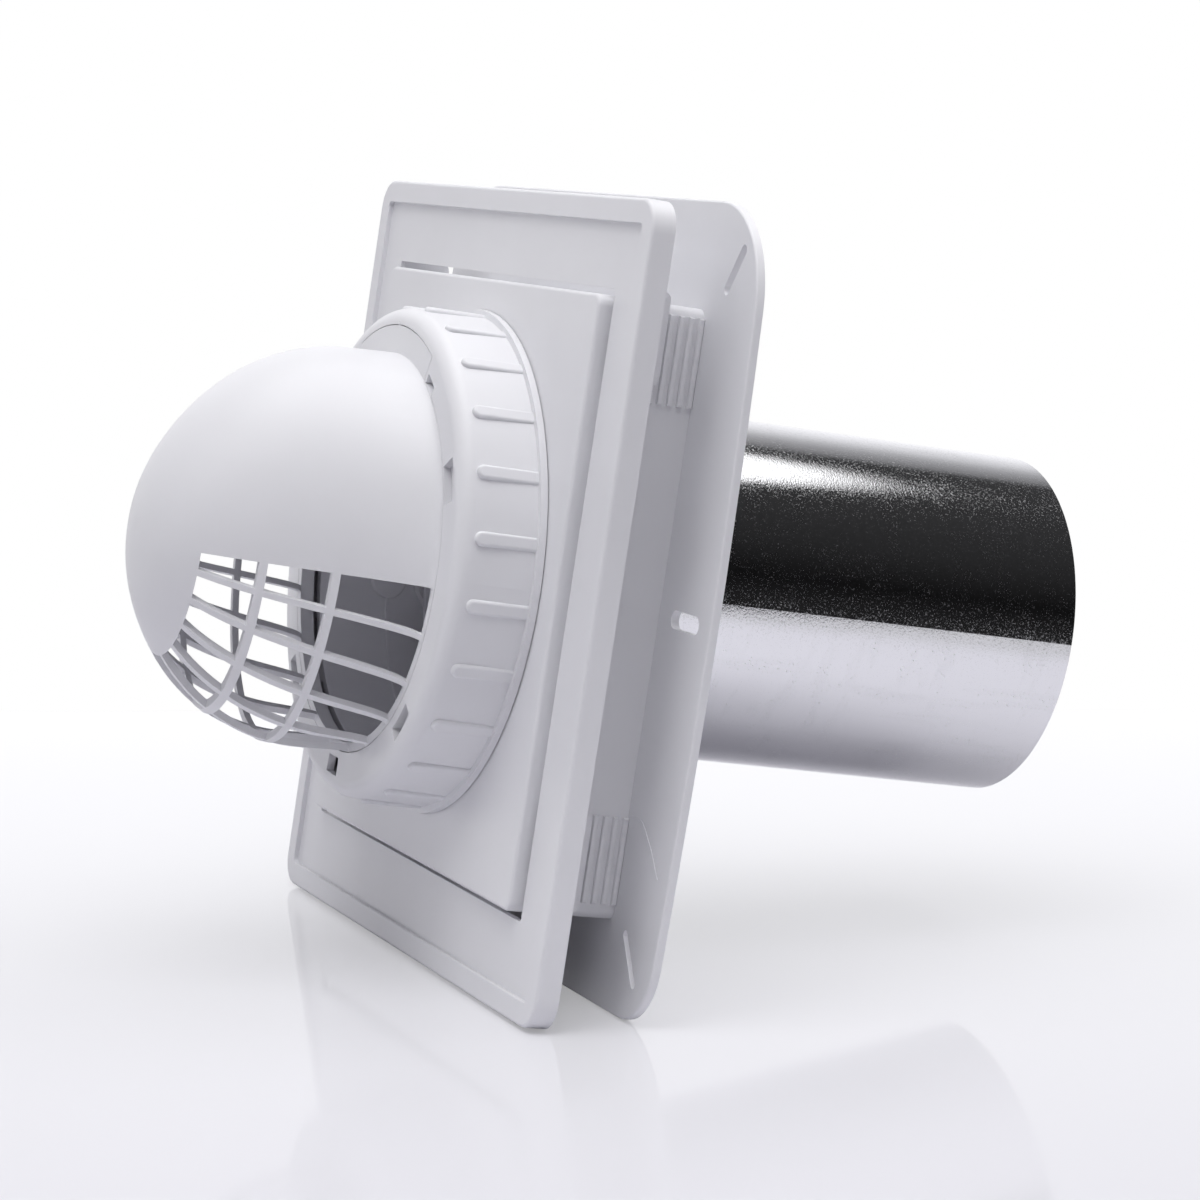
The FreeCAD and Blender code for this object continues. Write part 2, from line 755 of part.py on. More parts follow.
def vent_hood():
    """The hood with its guard cage, base band, rear flange and key, in one moulding."""
    body = hood_body(0).cut(hood_body(hood_wall))
    body = body.cut(Part.makeCompound(cage_gaps()))
    band_back_y = ring_face_back_y + hood_flange_thickness
    band_in_r = hood_band_r - hood_band_wall
    band = turned([
        (band_in_r, ring_front_y),
        (hood_band_r, ring_front_y),
        (hood_band_r, ring_face_back_y),
        (hood_flange_r, ring_face_back_y),
        (hood_flange_r, band_back_y),
        (band_in_r, band_back_y),
    ])
    key_width = 2 * (key_half_angle - math.degrees(key_gap / key_r))
    key = sector(band_in_r + 0.5, key_r, ring_front_y, band_back_y, 0, key_width)
    return on_cap_axis(body.multiFuse([band, key]).Solids[0])


def pawl(z0, z1):
    """A springy ratchet pawl at the trim's right inner edge."""
    x0 = box_half_width + pad_rib_height + pawl_gap + pawl_flex_gap
    x1 = x0 + pawl_thickness
    arm = block(x0, x1, trim_front_y + trim_rim_step + trim_thickness / 2, pawl_rear_y, z0, z1)
    corners = [e for e in arm.Edges if e.BoundBox.YMin > pawl_rear_y - 1e-4 and e.BoundBox.ZLength < 1e-4]
    arm = arm.makeFillet(pawl_corner_r, corners)
    tooth_x = box_half_width + pad_rib_height + pawl_gap
    tooth = block(tooth_x, x0 + 0.3, pawl_rear_y - pawl_tooth_run, pawl_rear_y, z0 + pawl_corner_r,
                  z1 - pawl_corner_r)
    return arm.fuse(tooth)


def trim_frame():
    """The siding trim: raised rim, sunk field, skirt and four pawls."""
    field_y = trim_front_y + trim_rim_step
    outer = rounded_plate(-trim_half_width, trim_half_width, trim_bottom, trim_top, trim_front_y, trim_skirt_y,
                          trim_corner_r)
    outer = outer.makeFillet(trim_outer_fillet, edges_at_y(outer, trim_front_y))
    inset = trim_rim_width
    sunk = rounded_plate(-trim_half_width + inset, trim_half_width - inset, trim_bottom + inset, trim_top - inset,
                         trim_front_y - 1, field_y, trim_field_corner_r)
    body = outer.cut(sunk)
    body = body.makeFillet(trim_inner_fillet, edges_at_y(body, trim_front_y))
    wall = trim_thickness
    hollow = rounded_plate(-trim_half_width + wall, trim_half_width - wall, trim_bottom + wall, trim_top - wall,
                           field_y + wall, trim_skirt_y + 1, trim_inner_corner_r)
    body = body.cut(hollow)
    gap = trim_clearance
    opening = rounded_plate(-box_half_width - gap, box_half_width + gap, box_bottom - gap, box_top + gap,
                            trim_front_y - 1, trim_skirt_y + 1, trim_opening_corner_r)
    body = body.cut(opening)
    for span in (pawl_upper_z, pawl_lower_z):
        for arm in both_sides(pawl(*span)):
            body = body.fuse(arm)
    return one_solid(body)


def hinge_pin():
    """The steel pin that the flap swings on."""
    rod = pin_rod(hinge_pin_r, pin_half_length())
    return on_cap_axis(rod.makeChamfer(hinge_pin_r / 4, rod.Edges[:1] + rod.Edges[2:]))


NODES = {
    "base_housing": base_housing,
    "trim_frame": trim_frame,
    "twist_ring": twist_ring,
    "vent_hood": vent_hood,
    "damper_flap": damper_flap,
    "damper_seal": damper_seal,
    "hinge_pin": hinge_pin,
    "duct_pipe": duct_pipe,
    "duct_rivets": duct_rivets,
}


def main():
    """Build each node and write it as a STEP file."""
    os.makedirs("parts", exist_ok=True)
    for name, build in NODES.items():
        shape = build()
        print(name, "solids", len(shape.Solids), "valid", shape.isValid(), "volume", round(shape.Volume, 1))
        shape.exportStep("parts/%s.step" % name)


main()
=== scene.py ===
"""Looks of the dryer vent cap: finishes, small moulded marks, camera, floor and light.

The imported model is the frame. X runs right as seen from the front, +Y into the wall and +Z up,
in metres.
"""
import logging
import math
from dataclasses import dataclass, field
from enum import Enum

import bmesh
import bpy
from mathutils import Matrix, Vector


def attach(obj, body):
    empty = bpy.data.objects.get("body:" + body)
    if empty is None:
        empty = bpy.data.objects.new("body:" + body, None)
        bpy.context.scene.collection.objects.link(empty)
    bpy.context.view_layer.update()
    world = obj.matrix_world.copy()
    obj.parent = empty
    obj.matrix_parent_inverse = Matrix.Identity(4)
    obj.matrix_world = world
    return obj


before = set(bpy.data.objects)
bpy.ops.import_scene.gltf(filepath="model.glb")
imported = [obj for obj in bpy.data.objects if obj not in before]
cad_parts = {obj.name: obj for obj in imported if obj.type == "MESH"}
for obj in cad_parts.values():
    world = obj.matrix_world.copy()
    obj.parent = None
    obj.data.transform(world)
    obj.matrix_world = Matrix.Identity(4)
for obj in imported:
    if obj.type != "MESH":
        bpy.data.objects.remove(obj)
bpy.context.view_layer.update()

log = logging.getLogger("vent_cap")

Colour = tuple[float, float, float]
Point = tuple[float, float, float]
Profile = tuple[tuple[float, float], ...]

MM = 0.001  # one millimetre in metres

# The colour sockets of a Mix node carry the same names as its other sockets.
MIX_FIRST, MIX_SECOND, MIX_RESULT = 6, 7, 2


class Slot(Enum):
    """The record's material slots."""

    WHITE = "white_plastic"
    SEAL = "seal_rubber"
    PIN = "pin_steel"
    METAL = "duct_aluminium"


class Finish(Enum):
    """The finishes that the pieces wear."""

    WHITE = "white moulding"
    # The flap's finish is the white moulding, darkened as painted shade.
    FLAP = "flap moulding"
    METAL = "duct sheet"
    SEAL = "seal foam"
    PIN = "pin wire"
    STEM = "rivet stem"


class LampShape(Enum):
    """The outline of a soft light."""

    RECTANGLE = "RECTANGLE"
    ELLIPSE = "ELLIPSE"


@dataclass(frozen=True)
class Moulded:
    """A moulded plastic's finish."""

    name: str
    colour: Colour
    roughness: float
    grain: float = 0.012
    grain_scale: float = 900.0
    waviness: float = 0.05
    smudge: float = 0.06
    mottle: float = 0.05
    ior: float = 1.47


@dataclass(frozen=True)
class SheetMetal:
    """A bright rolled sheet's finish."""

    name: str
    colour: Colour
    roughness: float
    lines: float
    sparkle: float
    smears: float = 0.05
    smear_shade: float = 0.94
    specks: float = 0.2
    relief: float = 0.0001


@dataclass(frozen=True)
class Foam:
    """A closed-cell foam's finish."""

    name: str
    colour: Colour
    # The darker colour painted into the cells' hollows as shade.
    hollow_shade_colour: Colour
    roughness: float = 0.85
    cells_per_metre: float = 1900.0
    depth: float = 0.5
    relief: float = 0.0002


@dataclass(frozen=True)
class Spot:
    """A place on a face in millimetres and the direction out of that face."""

    place: Point
    out: Point


@dataclass(frozen=True)
class CameraFit:
    """The photo's camera: angles about the object's origin, offsets and distance in millimetres."""

    azimuth: float = 66.318
    elevation: float = 4.239
    roll: float = 8.584
    distance: float = 1081.012
    focal_px: float = 3720.228
    picture_px: float = 1200.0
    offset_x: float = -45.358
    offset_y: float = -29.900
    sensor_mm: float = 36.0
    far_clip: float = 20.0


@dataclass(frozen=True)
class Softbox:
    """A soft light that looks at a point, in metres and watts."""

    name: str
    place: Point
    target: Point
    width: float
    height: float
    power: float
    shape: LampShape = LampShape.RECTANGLE
    in_reflections: bool = True


WHITE_PLASTIC = Moulded("white_moulding", (0.80, 0.80, 0.825), roughness=0.34)
# The flap is the same white plastic as the rest. This darker, bluer copy paints in the shade that
# falls on it inside the hood.
SHADED_FLAP_PLASTIC = Moulded("flap_moulding_painted_shade", (0.74, 0.74, 0.77), roughness=0.42)
ALUMINIUM = SheetMetal(
    "duct_sheet", (0.84, 0.84, 0.86), roughness=0.065, lines=0.02, sparkle=0.25
)
MANDREL = SheetMetal("rivet_stem", (0.62, 0.62, 0.64), roughness=0.22, lines=0.1, sparkle=0.5)
DRAWN_WIRE = SheetMetal("pin_wire", (0.55, 0.55, 0.57), roughness=0.26, lines=0.4, sparkle=0.2)
SEAL_FOAM = Foam("seal_foam", (0.05, 0.05, 0.055), hollow_shade_colour=(0.02, 0.02, 0.022))

NODE_FINISHES: dict[str, tuple[Finish, Slot]] = {
    "base_housing": (Finish.WHITE, Slot.WHITE),
    "trim_frame": (Finish.WHITE, Slot.WHITE),
    "twist_ring": (Finish.WHITE, Slot.WHITE),
    "vent_hood": (Finish.WHITE, Slot.WHITE),
    # The flap wears the darker copy of the white moulding: painted shade.
    "damper_flap": (Finish.FLAP, Slot.WHITE),
    "damper_seal": (Finish.SEAL, Slot.SEAL),
    "hinge_pin": (Finish.PIN, Slot.PIN),
    "duct_pipe": (Finish.METAL, Slot.METAL),
    "duct_rivets": (Finish.METAL, Slot.METAL),
}


class NodeTools:
    """Short helpers for building node trees."""

    def __init__(self, tree: bpy.types.NodeTree) -> None:
        """Keep the tree that the helpers work on."""
        self.tree = tree

    def add(self, kind: str, **values: object) -> bpy.types.Node:
        """Add a node and set its properties or its inputs by name.

        Args:
            kind: the node's type name.
            values: properties, or input names written with underscores for spaces.

        Returns:
            The new node.
        """
        node = self.tree.nodes.new(kind)
        for key, value in values.items():
            socket = key.replace("_", " ")
            if socket in node.inputs:
                node.inputs[socket].default_value = value
            else:
                setattr(node, key, value)
        return node

    def link(self, source: bpy.types.NodeSocket, target: bpy.types.NodeSocket) -> None:
        """Join two sockets.

        Args:
            source: an output.
            target: an input.
        """
        self.tree.links.new(source, target)

    def maths(
        self, operation: str, *terms: bpy.types.NodeSocket | float, clamp: bool = False
    ) -> bpy.types.NodeSocket:
        """One operation on two or three numbers or sockets.

        Args:
            operation: the operation's name.
            terms: numbers or outputs, in the node's order.
            clamp: whether the result stays between 0 and 1.

        Returns:
            The result's socket.
        """
        node = self.add("ShaderNodeMath", operation=operation, use_clamp=clamp)
        for term, target in zip(terms, node.inputs):
            if isinstance(term, bpy.types.NodeSocket):
                self.link(term, target)
            else:
                target.default_value = term
        return node.outputs[0]

    def past(
        self, pattern: bpy.types.NodeSocket, threshold: float, gain: float
    ) -> bpy.types.NodeSocket:
        """A mask of where a pattern passes a threshold.

        Args:
            pattern: the pattern's output.
            threshold: the level at which the mask starts.
            gain: how fast the mask grows from there to 1.

        Returns:
            The mask's socket.
        """
        above = self.maths("SUBTRACT", pattern, threshold)
        return self.maths("MULTIPLY", above, gain, clamp=True)

    def squeezed(self, vector: bpy.types.NodeSocket, factors: Point) -> bpy.types.NodeSocket:
        """A vector multiplied along each axis, which draws a pattern out where it is small.

        Args:
            vector: the vector's output.
            factors: the factor of each axis.

        Returns:
            The result's socket.
        """
        node = self.add("ShaderNodeVectorMath", operation="MULTIPLY")
        node.inputs[1].default_value = factors
        self.link(vector, node.inputs[0])
        return node.outputs[0]


class SharedEffects:
    """Node groups that several finishes share; each is built once."""

    WAVE_SCALE = 26.0
    WAVE_DEPTH = 0.001
    GRAIN_DEPTH = 0.0002
    SMUDGE_SCALE = 38.0
    # The level at which each mask starts, and its gain from there.
    SMUDGE_CUT = (0.42, 3.0)
    SMEAR_CUT = (0.52, 4.0)
    SPECK_CUT = (0.51, 7.0)
    # How a pattern is squeezed along each axis, and its scale.
    LENGTHWISE_SMEAR = ((1.0, 0.12, 1.0), 130.0)
    CROSSWISE_SMEAR = ((0.35, 1.0, 0.35), 150.0)
    ROLL_SQUEEZE = (1.0, 0.02, 1.0)

    def __init__(self) -> None:
        """Build every group."""
        self.grain = self._grain()
        self.smudges = self._smudges()
        self.mottle = self._mottle()
        self.cells = self._cells()
        self.smears = self._smears()
        self.roll_lines = self._roll_lines()

    @staticmethod
    def _group(
        name: str, inputs: dict[str, float], outputs: dict[str, str]
    ) -> tuple[NodeTools, bpy.types.Node, bpy.types.Node]:
        """A new group with a vector input, number inputs and the given outputs.

        Args:
            name: the group's name.
            inputs: number inputs with their defaults.
            outputs: outputs with their socket types.

        Returns:
            The group's node tools, its input node and its output node.
        """
        tree = bpy.data.node_groups.new(name, "ShaderNodeTree")
        tree.interface.new_socket("Vector", in_out="INPUT", socket_type="NodeSocketVector")
        for key, value in inputs.items():
            socket = tree.interface.new_socket(key, in_out="INPUT", socket_type="NodeSocketFloat")
            socket.default_value = value
        for key, kind in outputs.items():
            tree.interface.new_socket(key, in_out="OUTPUT", socket_type=kind)
        tools = NodeTools(tree)
        return tools, tools.add("NodeGroupInput"), tools.add("NodeGroupOutput")

    def _grain(self) -> bpy.types.NodeTree:
        """The fine grain and the long waviness of a moulded face, as a normal.

        Returns:
            The group's tree.
        """
        tools, start, end = self._group(
            "moulded_grain",
            {"Grain": 0.02, "Grain Scale": 900.0, "Waviness": 0.1},
            {"Normal": "NodeSocketVector"},
        )
        fine = tools.add("ShaderNodeTexNoise", Detail=2.0)
        tools.link(start.outputs["Vector"], fine.inputs["Vector"])
        tools.link(start.outputs["Grain Scale"], fine.inputs["Scale"])
        slow = tools.add("ShaderNodeTexNoise", Scale=self.WAVE_SCALE, Detail=1.0)
        tools.link(start.outputs["Vector"], slow.inputs["Vector"])
        waves = tools.add("ShaderNodeBump", Distance=self.WAVE_DEPTH)
        tools.link(start.outputs["Waviness"], waves.inputs["Strength"])
        tools.link(slow.outputs["Fac"], waves.inputs["Height"])
        grains = tools.add("ShaderNodeBump", Distance=self.GRAIN_DEPTH)
        tools.link(start.outputs["Grain"], grains.inputs["Strength"])
        tools.link(fine.outputs["Fac"], grains.inputs["Height"])
        tools.link(waves.outputs["Normal"], grains.inputs["Normal"])
        tools.link(grains.outputs["Normal"], end.inputs["Normal"])
        return tools.tree

    def _smudges(self) -> bpy.types.NodeTree:
        """Faint handling marks, as a mask.

        Returns:
            The group's tree.
        """
        tools, start, end = self._group(
            "handling_marks", {"Amount": 0.1}, {"Mask": "NodeSocketFloat"}
        )
        cloud = tools.add(
            "ShaderNodeTexNoise", Scale=self.SMUDGE_SCALE, Detail=5.0, Roughness=0.62
        )
        tools.link(start.outputs["Vector"], cloud.inputs["Vector"])
        spread = tools.past(cloud.outputs["Fac"], *self.SMUDGE_CUT)
        tools.link(tools.maths("MULTIPLY", spread, start.outputs["Amount"]), end.inputs["Mask"])
        return tools.tree

    def _mottle(self) -> bpy.types.NodeTree:
        """The slow, cloudy shift of tone in a moulded white, as a mask.

        Returns:
            The group's tree.
        """
        tools, start, end = self._group(
            "moulded_mottle", {"Amount": 0.05, "Scale": 16.0}, {"Mask": "NodeSocketFloat"}
        )
        cloud = tools.add("ShaderNodeTexNoise", Detail=3.0, Roughness=0.55)
        tools.link(start.outputs["Vector"], cloud.inputs["Vector"])
        tools.link(start.outputs["Scale"], cloud.inputs["Scale"])
        mask = tools.maths("MULTIPLY", cloud.outputs["Fac"], start.outputs["Amount"])
        tools.link(mask, end.inputs["Mask"])
        return tools.tree

    def _cells(self) -> bpy.types.NodeTree:
        """A foam's small closed cells, as a height and a mask of their hollows, where the foam
        paints shade.

        Returns:
            The group's tree.
        """
        tools, start, end = self._group(
            "foam_cells",
            {"Scale": 1900.0},
            {"Height": "NodeSocketFloat", "Hollow": "NodeSocketFloat"},
        )
        cells = tools.add("ShaderNodeTexVoronoi")
        tools.link(start.outputs["Vector"], cells.inputs["Vector"])
        tools.link(start.outputs["Scale"], cells.inputs["Scale"])
        tools.link(cells.outputs["Distance"], end.inputs["Height"])
        hollow = tools.maths("SUBTRACT", 1.0, cells.outputs["Distance"], clamp=True)
        tools.link(hollow, end.inputs["Hollow"])
        return tools.tree

    def _smears(self) -> bpy.types.NodeTree:
        """Long wiped smears along a tube and short ones round it, as a mask.

        Returns:
            The group's tree.
        """
        tools, start, end = self._group(
            "wiped_smears", {"Amount": 0.1}, {"Mask": "NodeSocketFloat"}
        )
        masks = []
        for squeeze, scale in (self.LENGTHWISE_SMEAR, self.CROSSWISE_SMEAR):
            drawn = tools.squeezed(start.outputs["Vector"], squeeze)
            streaks = tools.add("ShaderNodeTexNoise", Scale=scale, Detail=4.0, Roughness=0.6)
            tools.link(drawn, streaks.inputs["Vector"])
            masks.append(tools.past(streaks.outputs["Fac"], *self.SMEAR_CUT))
        both = tools.maths("MAXIMUM", *masks)
        tools.link(tools.maths("MULTIPLY", both, start.outputs["Amount"]), end.inputs["Mask"])
        return tools.tree

    def _roll_lines(self) -> bpy.types.NodeTree:
        """A rolled sheet's fine lines and grain as heights, and its sparkling specks as a mask.

        Returns:
            The group's tree.
        """
        tools, start, end = self._group(
            "rolled_sheet",
            {"Line Scale": 900.0, "Grain Scale": 1700.0},
            {"Lines": "NodeSocketFloat", "Grain": "NodeSocketFloat", "Specks": "NodeSocketFloat"},
        )
        drawn = tools.squeezed(start.outputs["Vector"], self.ROLL_SQUEEZE)
        lines = tools.add("ShaderNodeTexNoise", Detail=3.0)
        tools.link(drawn, lines.inputs["Vector"])
        tools.link(start.outputs["Line Scale"], lines.inputs["Scale"])
        tools.link(lines.outputs["Fac"], end.inputs["Lines"])
        dots = tools.add("ShaderNodeTexNoise", Detail=2.0, Roughness=0.6)
        tools.link(start.outputs["Vector"], dots.inputs["Vector"])
        tools.link(start.outputs["Grain Scale"], dots.inputs["Scale"])
        tools.link(dots.outputs["Fac"], end.inputs["Grain"])
        tools.link(tools.past(dots.outputs["Fac"], *self.SPECK_CUT), end.inputs["Specks"])
        return tools.tree


class Finishes:
    """The materials, one builder per kind of finish."""

    def __init__(self, effects: SharedEffects) -> None:
        """Keep the shared effects."""
        self.effects = effects

    @staticmethod
    def _blank(name: str) -> tuple[bpy.types.Material, NodeTools, bpy.types.Node]:
        """A material with one Principled surface.

        Args:
            name: the material's name.

        Returns:
            The material, its node tools and the surface node.
        """
        material = bpy.data.materials.new(name)
        material.use_nodes = True
        material.node_tree.nodes.clear()
        tools = NodeTools(material.node_tree)
        surface = tools.add("ShaderNodeBsdfPrincipled")
        output = tools.add("ShaderNodeOutputMaterial")
        tools.link(surface.outputs["BSDF"], output.inputs["Surface"])
        return material, tools, surface

    @staticmethod
    def _blend(
        tools: NodeTools,
        surface: bpy.types.Node,
        mask: bpy.types.NodeSocket,
        first: tuple[float, ...],
        second: tuple[float, ...],
    ) -> None:
        """Feed the base colour with two colours blended by a mask.

        Args:
            tools: the material's node tools.
            surface: the surface node.
            mask: 0 gives the first colour, 1 the second.
            first: the first colour.
            second: the second colour.
        """
        mix = tools.add("ShaderNodeMix", data_type="RGBA")
        mix.inputs[MIX_FIRST].default_value = (*first, 1.0)
        mix.inputs[MIX_SECOND].default_value = (*second, 1.0)
        tools.link(mask, mix.inputs[0])
        tools.link(mix.outputs[MIX_RESULT], surface.inputs["Base Color"])

    def moulded(self, spec: Moulded) -> bpy.types.Material:
        """A semi-gloss moulded plastic.

        Args:
            spec: the finish.

        Returns:
            The material.
        """
        material, tools, surface = self._blank(spec.name)
        surface.inputs["IOR"].default_value = spec.ior
        place = tools.add("ShaderNodeTexCoord")
        cloud = tools.add("ShaderNodeGroup", node_tree=self.effects.mottle, Amount=1.0)
        tools.link(place.outputs["Object"], cloud.inputs["Vector"])
        lighter = tuple(level * (1.0 + spec.mottle) for level in spec.colour)
        darker = tuple(level * (1.0 - spec.mottle) for level in spec.colour)
        self._blend(tools, surface, cloud.outputs["Mask"], lighter, darker)
        grain = tools.add(
            "ShaderNodeGroup",
            node_tree=self.effects.grain,
            Grain=spec.grain,
            Grain_Scale=spec.grain_scale,
            Waviness=spec.waviness,
        )
        tools.link(place.outputs["Object"], grain.inputs["Vector"])
        tools.link(grain.outputs["Normal"], surface.inputs["Normal"])
        marks = tools.add("ShaderNodeGroup", node_tree=self.effects.smudges, Amount=spec.smudge)
        tools.link(place.outputs["Object"], marks.inputs["Vector"])
        rough = tools.maths("ADD", marks.outputs["Mask"], spec.roughness)
        tools.link(rough, surface.inputs["Roughness"])
        return material

    def sheet(self, spec: SheetMetal) -> bpy.types.Material:
        """A bright rolled sheet metal with fine lines along the tube.

        Args:
            spec: the finish.

        Returns:
            The material.
        """
        material, tools, surface = self._blank(spec.name)
        surface.inputs["Metallic"].default_value = 1.0
        place = tools.add("ShaderNodeTexCoord")
        rolled = tools.add("ShaderNodeGroup", node_tree=self.effects.roll_lines)
        tools.link(place.outputs["Object"], rolled.inputs["Vector"])
        lines = tools.add("ShaderNodeBump", Strength=spec.lines, Distance=spec.relief)
        tools.link(rolled.outputs["Lines"], lines.inputs["Height"])
        grain = tools.add("ShaderNodeBump", Strength=spec.sparkle, Distance=spec.relief)
        tools.link(rolled.outputs["Grain"], grain.inputs["Height"])
        tools.link(lines.outputs["Normal"], grain.inputs["Normal"])
        tools.link(grain.outputs["Normal"], surface.inputs["Normal"])
        smears = tools.add("ShaderNodeGroup", node_tree=self.effects.smears, Amount=1.0)
        tools.link(place.outputs["Object"], smears.inputs["Vector"])
        wiped_colour = tuple(spec.smear_shade * level for level in spec.colour)
        self._blend(tools, surface, smears.outputs["Mask"], spec.colour, wiped_colour)
        wiped = tools.maths("MULTIPLY_ADD", smears.outputs["Mask"], spec.smears, spec.roughness)
        pitted = tools.maths("MULTIPLY", rolled.outputs["Specks"], spec.specks)
        tools.link(tools.maths("ADD", wiped, pitted), surface.inputs["Roughness"])
        return material

    def foam(self, spec: Foam) -> bpy.types.Material:
        """A matte foam with small closed cells, whose hollows are painted darker as shade.

        Args:
            spec: the finish.

        Returns:
            The material.
        """
        material, tools, surface = self._blank(spec.name)
        surface.inputs["Roughness"].default_value = spec.roughness
        place = tools.add("ShaderNodeTexCoord")
        cells = tools.add(
            "ShaderNodeGroup", node_tree=self.effects.cells, Scale=spec.cells_per_metre
        )
        tools.link(place.outputs["Object"], cells.inputs["Vector"])
        # Paints shade into the cells' hollows.
        self._blend(tools, surface, cells.outputs["Hollow"], spec.colour, spec.hollow_shade_colour)
        bump = tools.add("ShaderNodeBump", Strength=spec.depth, Distance=spec.relief)
        tools.link(cells.outputs["Height"], bump.inputs["Height"])
        tools.link(bump.outputs["Normal"], surface.inputs["Normal"])
        return material


@dataclass
class CadFinish:
    """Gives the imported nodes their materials."""

    finishes: Finishes
    made: dict[Finish, bpy.types.Material] = field(default_factory=dict)

    def build(self) -> None:
        """Make the materials and set them on every node's slots."""
        self.made = {
            Finish.WHITE: self.finishes.moulded(WHITE_PLASTIC),
            Finish.FLAP: self.finishes.moulded(SHADED_FLAP_PLASTIC),
            Finish.METAL: self.finishes.sheet(ALUMINIUM),
            Finish.SEAL: self.finishes.foam(SEAL_FOAM),
            Finish.PIN: self.finishes.sheet(DRAWN_WIRE),
            Finish.STEM: self.finishes.sheet(MANDREL),
        }
        for node, (finish, slot) in NODE_FINISHES.items():
            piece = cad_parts[node]
            if not piece.material_slots:
                piece.data.materials.append(self.made[finish])
            for entry in piece.material_slots:
                entry.material = self.made[finish]
            log.info("%s: %s", node, finish.value)


class Workshop:
    """Shapes small forms in millimetres and makes them pieces of the object."""

    MERGE_DISTANCE = 0.0005
    ROUND_STEPS = 28

    def __init__(self, materials: dict[Finish, bpy.types.Material]) -> None:
        """Keep the materials that the pieces wear."""
        self.materials = materials

    @staticmethod
    def turned(
        shape: bmesh.types.BMesh, profile: Profile, spot: Spot, steps: int = ROUND_STEPS
    ) -> None:
        """Add a turned form that stands on a face.

        Args:
            shape: the shape that it joins.
            profile: radius and height of each corner, from the axis and back to it.
            spot: its place and the direction out of the face.
            steps: faces round it.
        """
        before = set(shape.verts)
        corners = [shape.verts.new((radius, 0.0, height)) for radius, height in profile]
        edges = [shape.edges.new(pair) for pair in zip(corners, corners[1:])]
        bmesh.ops.spin(
            shape,
            geom=corners + edges,
            cent=(0.0, 0.0, 0.0),
            axis=(0.0, 0.0, 1.0),
            angle=2 * math.pi,
            steps=steps,
            use_merge=True,
            use_duplicate=False,
        )
        turn = Vector(spot.out).to_track_quat("Z", "Y").to_matrix().to_4x4()
        made = [vert for vert in shape.verts if vert not in before]
        bmesh.ops.transform(shape, matrix=Matrix.Translation(spot.place) @ turn, verts=made)

    @staticmethod
    def grown(
        shape: bmesh.types.BMesh, faces: list[bmesh.types.BMFace], step: Point
    ) -> list[bmesh.types.BMVert]:
        """Pull faces out of a shape and turn all of its faces outwards.

        Args:
            shape: the shape.
            faces: the faces to pull.
            step: how far, along each axis.

        Returns:
            The corners of the pulled faces.
        """
        pulled = bmesh.ops.extrude_face_region(shape, geom=faces)["geom"]
        corners = [item for item in pulled if isinstance(item, bmesh.types.BMVert)]
        bmesh.ops.translate(shape, vec=step, verts=corners)
        bmesh.ops.recalc_face_normals(shape, faces=shape.faces)
        return corners

    @staticmethod
    def rounded(
        shape: bmesh.types.BMesh, edges: list[bmesh.types.BMEdge], width: float
    ) -> None:
        """Round some edges of a shape.

        Args:
            shape: the shape.
            edges: the edges.
            width: the rounding's width.
        """
        bmesh.ops.bevel(
            shape,
            geom=edges,
            offset=width,
            affect="EDGES",
            segments=2,
            profile=0.5,
            material=-1,
        )

    def finish(
        self, shape: bmesh.types.BMesh, name: str, body: str, slot: Slot, finish: Finish
    ) -> bpy.types.Object:
        """Make a shape a piece that rides on a body.

        Args:
            shape: the shape in millimetres; it is freed.
            name: the piece's name.
            body: the body it rides on.
            slot: the record's material slot, which is not used.
            finish: what the piece wears.

        Returns:
            The piece.
        """
        bmesh.ops.remove_doubles(shape, verts=shape.verts, dist=self.MERGE_DISTANCE)
        bmesh.ops.scale(shape, vec=(MM, MM, MM), verts=shape.verts)
        bmesh.ops.recalc_face_normals(shape, faces=shape.faces)
        mesh = bpy.data.meshes.new(name)
        shape.to_mesh(mesh)
        shape.free()
        mesh.materials.append(self.materials[finish])
        piece = bpy.data.objects.new(name, mesh)
        bpy.context.scene.collection.objects.link(piece)
        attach(piece, body)
        log.info("%s: %d faces on %s", name, len(mesh.polygons), body)
        return piece


